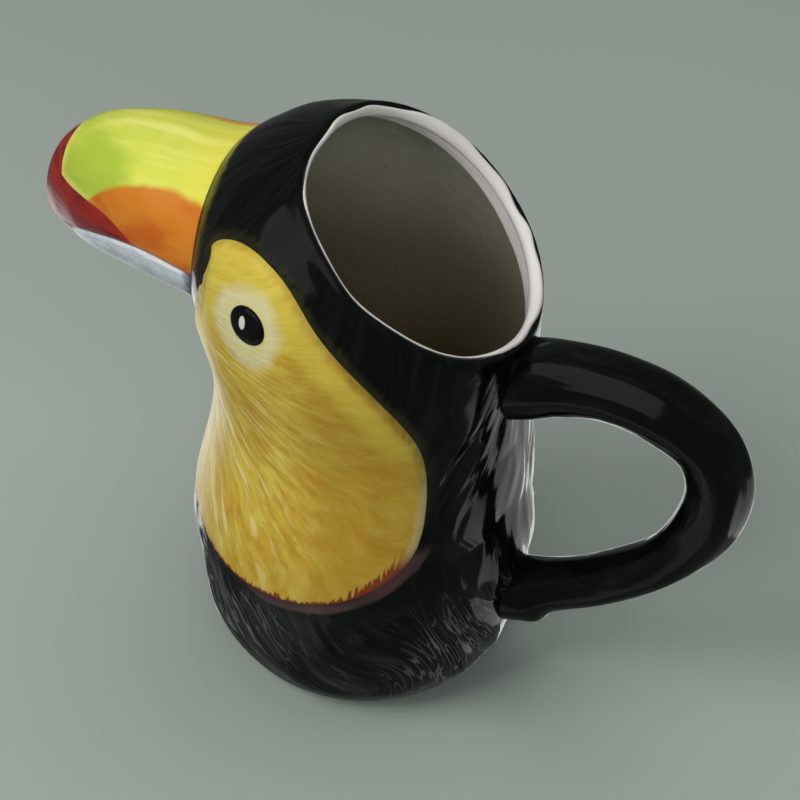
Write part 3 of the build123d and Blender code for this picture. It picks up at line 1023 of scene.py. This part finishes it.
def bareClay():
    p = Paint("bare_clay")
    spot = p.place()
    grain = p.cloud(spot, 1.4, detail=4.0, roughness=0.65)
    speck = p.band(p.cloud(spot, 2.6, detail=2.0), 0.66, 0.74)
    colour = p.mix(p.band(grain, 0.35, 0.7), tint(214, 200, 176), tint(190, 172, 146))
    colour = p.mix(speck * 0.6, colour, tint(120, 96, 72))
    return p.finish(Base_Color=colour, Roughness=0.82 + grain * 0.12, Specular_IOR_Level=0.2,
                    Normal=p.bump(grain, 0.0004, 0.6))


print("building the jug")
buildBody(blackGlaze("body_glaze", True))
buildLip(whiteGlaze())
buildLiner(oliveGlaze())
buildBib(yellowGlaze())
buildBeakHalf("beak_upper", True, upperBeakGlaze(), "upper_beak")
buildBeakHalf("beak_lower", False, lowerBeakGlaze(), "lower_beak")
eyePaint = eyeGlaze()
buildEye("eye_left", 1, eyePaint, "left_eye")
buildEye("eye_right", -1, eyePaint, "right_eye")
buildHandle(blackGlaze("handle_glaze", False))
buildFoot(bareClay())


studio = {
    "floorSize": 3, "footGap": 0.0002,
    "floorTint": (157, 167, 159), "worldTint": (112, 116, 114), "worldStrength": 0.55,
    "keyPower": 9.8, "fillPower": 4.5, "topPower": 5.0,
    "rightCard": 0.62, "leftCard": 0.45, "backCard": 0.6, "frontCard": 0.12, "strip": 1.3,
}


def buildFloor():
    bm = bmesh.new()
    bmesh.ops.create_grid(bm, x_segments=8, y_segments=8, size=studio["floorSize"])
    bmesh.ops.translate(bm, vec=(0, 0, -studio["footGap"]), verts=bm.verts)      # a hair under the foot
    mesh = bpy.data.meshes.new("floor")
    bm.to_mesh(mesh)
    bm.free()
    floor = bpy.data.objects.new("floor", mesh)
    bpy.context.scene.collection.objects.link(floor)
    p = Paint("floor_paper")
    spot = p.place()
    grain = p.cloud(spot, 0.02, detail=3.0)
    tone = tint(*studio["floorTint"])
    colour = p.mix(grain * 0.06, tone, tint(140, 150, 142))
    mesh.materials.append(p.finish(Base_Color=colour, Roughness=0.9, Specular_IOR_Level=0.1))
    floor.visible_glossy = False


def softbox(name, position, target, width, height, power, seenInGlaze, lights):
    lamp = bpy.data.lights.new(name, "AREA")
    lamp.shape = "RECTANGLE"
    lamp.size, lamp.size_y = width, height
    lamp.energy = power
    box = bpy.data.objects.new(name, lamp)
    box.location = position
    box.rotation_euler = (Vector(target) - Vector(position)).to_track_quat("-Z", "Y").to_euler()
    box.visible_glossy = seenInGlaze
    box.visible_diffuse = lights
    bpy.context.scene.collection.objects.link(box)


buildFloor()
middle = (0.005, 0, 0.08)
softbox("key", (-0.55, -0.65, 0.95), middle, 0.7, 0.7, studio["keyPower"], False, True)
softbox("fill", (0.50, -0.82, 0.6), middle, 0.8, 0.8, studio["fillPower"], False, True)
softbox("top", (0.05, 0.3, 1.1), middle, 1.0, 1.0, studio["topPower"], False, True)
# cards low on both sides, that the glaze mirrors along its lower edges
softbox("cardRight", (0.44, 0.46, -0.42), middle, 0.9, 0.42, studio["rightCard"], True, False)
softbox("cardLeft", (-0.70, 0.40, -0.52), middle, 0.4, 0.26, studio["leftCard"], True, False)
softbox("cardBack", (-0.20, 0.60, -0.55), middle, 0.7, 0.3, studio["backCard"], True, False)
softbox("cardFront", (-0.30, -0.55, -0.60), middle, 0.8, 0.3, studio["frontCard"], True, False)
softbox("strip", (-0.25, -0.75, 0.95), middle, 1.3, 0.7, studio["strip"], True, False)

world = bpy.data.worlds.new("studio")
world.use_nodes = True
background = world.node_tree.nodes["Background"]
background.inputs["Color"].default_value = tint(*studio["worldTint"])
background.inputs["Strength"].default_value = studio["worldStrength"]
bpy.context.scene.world = world
bpy.context.scene.view_settings.view_transform = "Standard"

view = {"azimuth": 25.0, "elevation": 41.0, "distance": 0.620,
        "target": (0.0104, 0.0, 0.085), "lens": 104.0, "sensor": 36.0}


def buildCamera():
    azimuth, elevation = math.radians(view["azimuth"]), math.radians(view["elevation"])
    back = Vector((math.sin(azimuth) * math.cos(elevation), -math.cos(azimuth) * math.cos(elevation),
                   math.sin(elevation)))
    data = bpy.data.cameras.new("camera")
    data.lens = view["lens"]
    data.sensor_width = view["sensor"]
    camera = bpy.data.objects.new("camera", data)
    target = Vector(view["target"])
    turn = (-back).to_track_quat("-Z", "Y").to_matrix().to_4x4()
    camera.matrix_world = Matrix.Translation(target + back * view["distance"]) @ turn
    bpy.context.scene.collection.objects.link(camera)
    bpy.context.scene.camera = camera


buildCamera()
print("studio ready")
